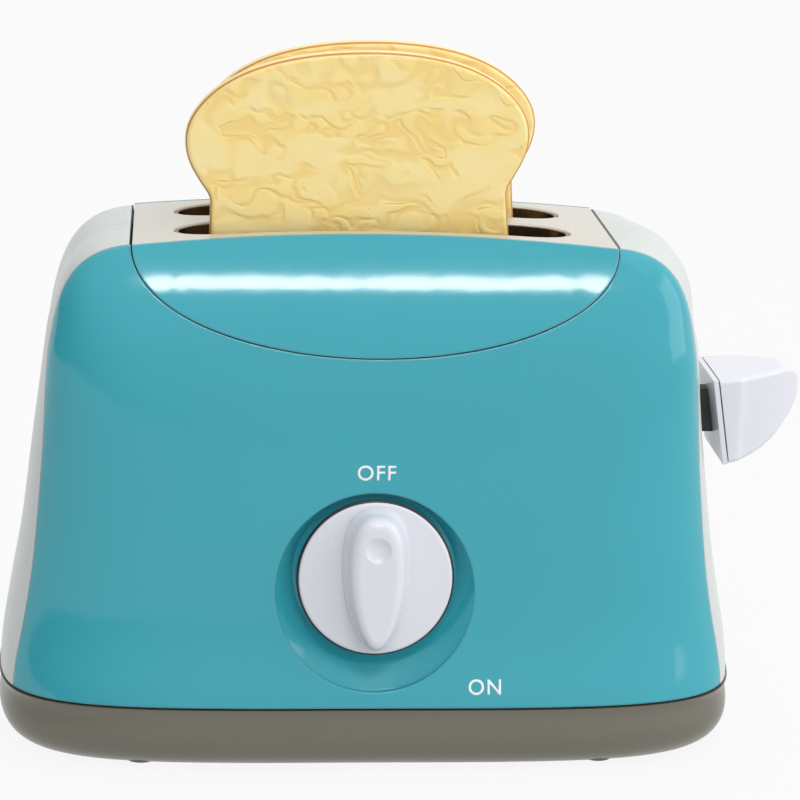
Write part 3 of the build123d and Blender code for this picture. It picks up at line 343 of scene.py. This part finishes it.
def soft_vinyl_bread(name, colours):
    """Moulded yellow vinyl: crumb strokes pressed into both faces with painted shade in their grooves, a
    browned line at the edge.
    """
    material, tree, shader = new_material(name)
    place = object_place(tree)
    wander = add_node(tree, "ShaderNodeTexNoise", [("Vector", place)], Scale=per_mm(WANDER_MM), Detail=1.0)
    pushed = add_node(tree, "ShaderNodeVectorMath", [(0, wander.outputs["Color"])],
                      operation="SCALE", Scale=WANDER_REACH).outputs["Vector"]
    pushed = add_node(tree, "ShaderNodeVectorMath", [(0, place), (1, pushed)],
                      operation="ADD").outputs["Vector"]
    # the strokes lie longer across the slice than up it
    laid = add_node(tree, "ShaderNodeMapping", [("Vector", pushed)], Scale=(0.6, 1.0, 1.0)).outputs["Vector"]
    strokes = reckon(tree, "MAXIMUM", *[crumb_strokes(tree, laid, *sizes) for sizes in STROKES_MM])
    swell = noise(tree, laid, SWELL_MM, 2.0)
    # 1 on the slice's two faces, 0 on its rim
    normal = add_node(tree, "ShaderNodeTexCoord").outputs["Normal"]
    facing = add_node(tree, "ShaderNodeSeparateXYZ", [("Vector", normal)]).outputs["Y"]
    facing = reckon(tree, "ABSOLUTE", facing)
    flat = ramp(tree, facing, 0.9, 0.99)
    broad = noise(tree, place, BROAD_MM, 2.0)
    crumb = mixed(tree, ramp(tree, swell, 0.35, 0.65), tuple(colours.bread_light), tuple(colours.bread))
    crumb = mixed(tree, spread(tree, broad, 0.2, 0.6), crumb, tuple(colours.bread))
    # painted shade: the pressed strokes' grooves are coloured darker
    groove_shade = spread(tree, reckon(tree, "MULTIPLY", strokes, flat), 0.0, 0.55)
    crumb = mixed(tree, groove_shade, crumb, tuple(colours.bread_groove_shade))
    line = reckon(tree, "MULTIPLY", ramp(tree, facing, 0.15, 0.35), ramp(tree, facing, 0.66, 0.86, 1.0, 0.0))
    tree.links.new(mixed(tree, line, crumb, tuple(colours.crust)), shader.inputs["Base Color"])
    relief = reckon(tree, "MULTIPLY", reckon(tree, "SUBTRACT", swell, strokes), flat)
    tree.links.new(bump(tree, relief, 0.28, 0.8), shader.inputs["Normal"])
    shader.inputs["Roughness"].default_value = 0.36
    shader.inputs["IOR"].default_value = 1.52
    shader.inputs["Subsurface Weight"].default_value = 0.15
    shader.inputs["Subsurface Radius"].default_value = (0.004, 0.003, 0.001)
    return material


def brushed_metal(name, shade, roughness, grain_mm=GRAIN_MM):
    """Drawn or rolled steel: fine grain along the length of the stock."""
    material, tree, shader = new_material(name)
    place = object_place(tree)
    drawn = add_node(tree, "ShaderNodeMapping", [("Vector", place)], Scale=(1.0, 1.0, 0.05)).outputs["Vector"]
    grain = noise(tree, drawn, grain_mm, 3.0)
    tree.links.new(mixed(tree, grain, shade_of(shade, 0.85), shade_of(shade, 1.1)),
                   shader.inputs["Base Color"])
    tree.links.new(spread(tree, grain, roughness * 0.8, roughness * 1.3), shader.inputs["Roughness"])
    tree.links.new(bump(tree, grain, 0.004), shader.inputs["Normal"])
    shader.inputs["Metallic"].default_value = 1.0
    return material


def foot_rubber(name):
    """Die-cut rubber sheet: matt and slightly dusty."""
    material, tree, shader = new_material(name)
    place = object_place(tree)
    dust = noise(tree, place, DUST_MM, 5.0)
    tree.links.new(mixed(tree, dust, hex_colour("222223"), hex_colour("38383A")), shader.inputs["Base Color"])
    tree.links.new(bump(tree, dust, 0.03), shader.inputs["Normal"])
    shader.inputs["Roughness"].default_value = 0.85
    return material


def coat_nodes(material, *names):
    """The material in place of the plain one on each of these CAD nodes."""
    for name in names:
        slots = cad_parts[name].data.materials
        slots.clear()
        slots.append(material)


# ---------------------------------------------------------------- operators
class TOASTER_OT_covers(bpy.types.Operator):
    """Gloss teal plastic on the covers and the crescent"""

    bl_idname = "toaster.covers"
    bl_label = "Covers"

    def execute(self, context):
        colours = context.scene.toaster_colours
        # polished tool: sharp highlights over an even colour, and a painted highlight along the rounded edges
        coat_nodes(moulded_abs("gloss_teal_abs", tuple(colours.cover), 0.1, ripple_mm=0.004, mottle=0.03,
                               edge_mm=0.8, edge_highlight=0.5),
                   "front_panel", "rear_panel", "saddle_cover")
        return {"FINISHED"}


class TOASTER_OT_side_band(bpy.types.Operator):
    """Pale gloss plastic on the side shells"""

    bl_idname = "toaster.side_band"
    bl_label = "Side band"

    def execute(self, context):
        colours = context.scene.toaster_colours
        coat_nodes(moulded_abs("pale_abs", tuple(colours.band), 0.3, ripple_mm=0.01, mottle=0.012),
                   "front_shell", "rear_shell")
        return {"FINISHED"}


class TOASTER_OT_plate_and_base(bpy.types.Operator):
    """Silver-pigmented plastic on the slot plate and the base: one pigment, painted lighter on the plate and
    darker on the base
    """

    bl_idname = "toaster.plate_and_base"
    bl_label = "Slot plate and base"

    def execute(self, context):
        colours = context.scene.toaster_colours
        # one silver pigment in two shades: painted light on the plate, painted shade on the base
        coat_nodes(pearl_abs("silver_plate_abs", tuple(colours.plate), 0.15, 0.35), "slot_plate")
        coat_nodes(pearl_abs("silver_base_abs", tuple(colours.base), 0.45, 0.36), "base_tray")
        coat_nodes(foot_rubber("foot_rubber"), "rubber_feet")
        return {"FINISHED"}


class TOASTER_OT_controls(bpy.types.Operator):
    """White knob and handle, black lever neck"""

    bl_idname = "toaster.controls"
    bl_label = "Knob and lever"

    def execute(self, context):
        colours = context.scene.toaster_colours
        coat_nodes(moulded_abs("white_abs", tuple(colours.white), 0.26, ripple_mm=0.008, mottle=0.01,
                               edge_mm=0.4),
                   "knob", "lever_cap", "lever_back_plate")
        coat_nodes(moulded_abs("black_abs", tuple(colours.neck), 0.4, ripple_mm=0.02, mottle=0.1),
                   "lever_arm")
        return {"FINISHED"}


class TOASTER_OT_knob_shadow_ring(bpy.types.Operator):
    """Thin black ring that turns with the knob, just behind its rim: painted shadow standing in for the
    shadow gap round the knob
    """

    bl_idname = "toaster.knob_ring"
    bl_label = "Knob ring"

    def execute(self, context):
        sizes = context.scene.toaster_knob_ring
        outward = Vector((0, -math.cos(DIAL_LEAN), math.sin(DIAL_LEAN)))
        middle = DIAL_PLACE + outward * sizes.proud
        half = sizes.width / 2
        build = bmesh.new()
        turns = [math.tau * step / RING_SIDES for step in range(RING_SIDES)]
        section = [build.verts.new(middle + Vector((sizes.radius - half + half * math.cos(turn), 0, 0))
                                   + outward * half * math.sin(turn)) for turn in turns]
        edges = [build.edges.new((section[i - 1], section[i])) for i in range(RING_SIDES)]
        bmesh.ops.spin(build, geom=section + edges, cent=middle, axis=outward, angle=math.tau,
                       steps=RING_STEPS, use_merge=True)
        bmesh.ops.recalc_face_normals(build, faces=build.faces)
        for face in build.faces:
            face.smooth = True
        mesh = bpy.data.meshes.new("knob_ring")
        build.to_mesh(mesh)
        build.free()
        # painted shadow: black plastic as on the lever's neck, a little glossier, put where the shadow gap
        # round the knob shows
        mesh.materials.append(moulded_abs("black_ring_abs", tuple(context.scene.toaster_colours.ring), 0.35))
        ring = bpy.data.objects.new("knob_ring", mesh)
        context.scene.collection.objects.link(ring)
        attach(ring, "timer")
        return {"FINISHED"}


class TOASTER_OT_bread(bpy.types.Operator):
    """Yellow vinyl slices and the wells they stand in"""

    bl_idname = "toaster.bread"
    bl_label = "Bread and wells"

    def execute(self, context):
        colours = context.scene.toaster_colours
        coat_nodes(soft_vinyl_bread("yellow_vinyl", colours), "toast_front", "toast_rear")
        coat_nodes(pearl_abs("well_abs", tuple(colours.well), 0.8, 0.24),
                   "front_bread_well", "rear_bread_well")
        return {"FINISHED"}


class TOASTER_OT_works(bpy.types.Operator):
    """Metals and plain plastics of the pieces inside"""

    bl_idname = "toaster.works"
    bl_label = "Works"

    def execute(self, context):
        zinc = brushed_metal("zinc_plated_steel", hex_colour("C9C7BE"), 0.32)
        coat_nodes(zinc, "left_guide_rod", "right_guide_rod", "lever_screws", "knob_shaft", "timer_spacers",
                   "timer_screws", "latch_pin", "bell_post", "bell_screw", "striker_pin", "body_screws",
                   "base_screws", "saddle_screws")
        coat_nodes(brushed_metal("spring_wire", hex_colour("B9BABB"), 0.25), "left_lift_spring",
                   "right_lift_spring", "timer_spring")
        coat_nodes(brushed_metal("rolled_steel", hex_colour("BDBEC0"), 0.3, 0.6),
                   "timer_front_plate", "timer_back_plate")
        coat_nodes(brushed_metal("nickel_bell", hex_colour("D9D4C8"), 0.14), "bell_cup")
        coat_nodes(moulded_abs("natural_acetal", hex_colour("E8E5DA"), 0.35, ripple_mm=0.01, mottle=0.02),
                   "drive_gear", "trip_cam", "damper_gear", "latch_hook", "bell_striker")
        coat_nodes(moulded_abs("grey_abs", hex_colour("8F8D88"), 0.45, ripple_mm=0.03, mottle=0.05),
                   "well_frame", "toast_carriage")
        coat_nodes(moulded_abs("damper_nylon", hex_colour("2A2A2C"), 0.5, ripple_mm=0.03, mottle=0.08),
                   "rotary_damper")
        for side in ("left", "right"):
            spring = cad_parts[side + "_lift_spring"]
            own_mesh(spring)
        return {"FINISHED"}


class TOASTER_OT_words(bpy.types.Operator):
    """Printed OFF and ON beside the knob"""

    bl_idname = "toaster.words"
    bl_label = "Printed words"

    def execute(self, context):
        sizes = context.scene.toaster_print
        ink, tree, shader = new_material("white_ink")
        place = object_place(tree)
        # pad-printed ink: even white, a little rougher than the plastic under it
        grain = noise(tree, place, INK_GRAIN_MM, 2.0)
        shade = tuple(context.scene.toaster_colours.print_ink)
        tree.links.new(mixed(tree, grain, shade_of(shade, 0.97), shade), shader.inputs["Base Color"])
        shader.inputs["Roughness"].default_value = 0.45
        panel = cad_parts["front_panel"]
        surface = BVHTree.FromObject(panel, context.evaluated_depsgraph_get())
        words = (("OFF", 0.0, sizes.off_height), ("ON", sizes.on_across, sizes.on_height))
        for word, across, height in words:
            print_word(word, across, height, sizes, surface, ink)
        return {"FINISHED"}


def print_word(word, across, height, sizes, surface, ink):
    """A word of thin ink laid on the front cover."""
    font = bpy.data.curves.new("letters", "FONT")
    font.body = word
    font.align_x = "CENTER"
    font.align_y = "CENTER"
    font.size = sizes.cap_height / CAP_SHARE
    font.offset = sizes.stroke
    font.space_character = sizes.spacing
    holder = bpy.data.objects.new("letters", font)
    flat = bpy.data.meshes.new_from_object(holder)
    bpy.data.objects.remove(holder)
    build = bmesh.new()
    build.from_mesh(flat)
    bpy.data.meshes.remove(flat)
    bmesh.ops.remove_doubles(build, verts=build.verts, dist=1e-6)
    upright = Matrix.Translation((across, 0, height)) @ Matrix.Rotation(math.radians(90), 4, "X")
    bmesh.ops.transform(build, matrix=upright, verts=build.verts)
    long_edges = [edge for edge in build.edges if edge.calc_length() > LETTER_EDGE]
    bmesh.ops.subdivide_edges(build, edges=long_edges, cuts=3, use_grid_fill=False)
    bmesh.ops.triangulate(build, faces=build.faces)
    for vert in build.verts:
        # from well in front of the cover, straight back on to it
        start = Vector((vert.co.x, -0.2, vert.co.z))
        hit = surface.ray_cast(start, Vector((0, 1, 0)))[0]
        if hit is None:
            raise RuntimeError(f"{word} runs off the front cover")
        vert.co.y = hit.y - INK_GAP
    bmesh.ops.recalc_face_normals(build, faces=build.faces)
    facing = sum(face.normal.y * face.calc_area() for face in build.faces)
    if facing > 0:
        bmesh.ops.reverse_faces(build, faces=build.faces)
    bmesh.ops.solidify(build, geom=build.faces, thickness=-sizes.ink_depth)
    bmesh.ops.recalc_face_normals(build, faces=build.faces)
    mesh = bpy.data.meshes.new("word_" + word.lower())
    build.to_mesh(mesh)
    build.free()
    mesh.materials.append(ink)
    piece = bpy.data.objects.new("word_" + word.lower(), mesh)
    bpy.context.scene.collection.objects.link(piece)
    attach(piece, "housing")


class TOASTER_OT_stage(bpy.types.Operator):
    """Floor, lamps, surround and camera"""

    bl_idname = "toaster.stage"
    bl_label = "Stage"

    def execute(self, context):
        settings = context.scene.toaster_stage
        make_floor(cad_box[0].z)
        make_surround(settings.surround_dark)
        middle = (cad_box[0] + cad_box[1]) / 2
        for name, place, size in LAMPS:
            make_lamp(name, place, middle, size, getattr(settings, name + "_power"))
        make_camera(settings.lens)
        return {"FINISHED"}


def make_floor(height):
    """A pale matt floor that reads as white and keeps the toy's shadow."""
    build = bmesh.new()
    bmesh.ops.create_grid(build, x_segments=1, y_segments=1, size=FLOOR_HALF,
                          matrix=Matrix.Translation((0, 0, height)))
    mesh = bpy.data.meshes.new("floor")
    build.to_mesh(mesh)
    build.free()
    material, tree, shader = new_material("floor_white")
    shader.inputs["Base Color"].default_value = hex_colour("C8C8C7")
    shader.inputs["Roughness"].default_value = 0.9
    shader.inputs["Specular IOR Level"].default_value = 0.0
    glow = add_node(tree, "ShaderNodeEmission", Strength=1.0)
    share = reckon(tree, "MULTIPLY", seen_rays(tree), FLOOR_WHITE_SHARE)
    mix = add_node(tree, "ShaderNodeMixShader", [(0, share), (1, shader.outputs[0]), (2, glow.outputs[0])])
    tree.links.new(mix.outputs[0], tree.nodes["Material Output"].inputs["Surface"])
    mesh.materials.append(material)
    floor = bpy.data.objects.new("floor", mesh)
    bpy.context.scene.collection.objects.link(floor)


def seen_rays(tree):
    """1 for camera, glossy and transmission rays."""
    rays = add_node(tree, "ShaderNodeLightPath").outputs
    straight = reckon(tree, "MAXIMUM", rays["Is Camera Ray"], rays["Is Glossy Ray"])
    return reckon(tree, "MAXIMUM", straight, rays["Is Transmission Ray"])


def make_surround(dark_level):
    """A pale studio: white above and to the right, dimmer low at the left."""
    world = bpy.data.worlds.new("surround")
    world.use_nodes = True
    tree = world.node_tree
    background = tree.nodes["Background"]
    background.inputs["Color"].default_value = (1, 1, 1, 1)
    heading = add_node(tree, "ShaderNodeTexCoord").outputs["Generated"]
    towards = add_node(tree, "ShaderNodeVectorMath", [(0, heading)], operation="DOT_PRODUCT")
    towards.inputs[1].default_value = BRIGHT_WAY
    level = ramp(tree, towards.outputs["Value"], -0.9, 0.3, dark_level, 1.0)
    tree.links.new(level, background.inputs["Strength"])
    bpy.context.scene.world = world


def make_lamp(name, place, target, size, power):
    """A soft rectangular lamp that faces the target."""
    data = bpy.data.lights.new(name, "AREA")
    data.shape = "RECTANGLE"
    data.size, data.size_y = size
    data.energy = power
    lamp = bpy.data.objects.new(name, data)
    lamp.location = place
    lamp.rotation_euler = (target - Vector(place)).to_track_quat("-Z", "Y").to_euler()
    bpy.context.scene.collection.objects.link(lamp)


def make_camera(lens):
    """A long lens a little above and to the left of the front."""
    data = bpy.data.cameras.new("camera")
    data.lens = lens
    data.sensor_width = 36.0
    data.shift_x, data.shift_y = CAMERA_SHIFT
    data.clip_start = 0.01
    data.clip_end = 50.0
    camera = bpy.data.objects.new("camera", data)
    right = Vector(CAMERA_RIGHT).normalized()
    up = Vector(CAMERA_UP).normalized()
    back = right.cross(up).normalized()
    up = back.cross(right)
    turn = Matrix((right, up, back)).transposed().to_4x4()
    camera.matrix_world = Matrix.Translation(CAMERA_PLACE) @ turn
    bpy.context.scene.collection.objects.link(camera)
    bpy.context.scene.camera = camera
    bpy.context.scene.view_settings.view_transform = "Standard"


# ---------------------------------------------------------------- panel and registration
STEPS = (TOASTER_OT_covers, TOASTER_OT_side_band, TOASTER_OT_plate_and_base, TOASTER_OT_controls,
         TOASTER_OT_knob_shadow_ring, TOASTER_OT_bread, TOASTER_OT_works, TOASTER_OT_words, TOASTER_OT_stage)


class TOASTER_PT_panel(bpy.types.Panel):
    """Builds the toaster's looks step by step"""

    bl_idname = "TOASTER_PT_panel"
    bl_label = "Toy Toaster"
    bl_space_type = "VIEW_3D"
    bl_region_type = "UI"
    bl_category = "Toaster"

    def draw(self, context):
        for step in STEPS:
            self.layout.operator(step.bl_idname)


def register():
    for _, group in GROUPS:
        bpy.utils.register_class(group)
    for name, group in GROUPS:
        setattr(bpy.types.Scene, name, bpy.props.PointerProperty(type=group))
    for step in STEPS:
        bpy.utils.register_class(step)
    bpy.utils.register_class(TOASTER_PT_panel)


def unregister():
    bpy.utils.unregister_class(TOASTER_PT_panel)
    for step in reversed(STEPS):
        bpy.utils.unregister_class(step)
    for name, group in reversed(GROUPS):
        delattr(bpy.types.Scene, name)
        bpy.utils.unregister_class(group)


def main():
    register()
    bpy.ops.toaster.covers()
    bpy.ops.toaster.side_band()
    bpy.ops.toaster.plate_and_base()
    bpy.ops.toaster.controls()
    bpy.ops.toaster.knob_ring()
    bpy.ops.toaster.bread()
    bpy.ops.toaster.works()
    bpy.ops.toaster.words()
    bpy.ops.toaster.stage()


if __name__ == "__main__":
    main()
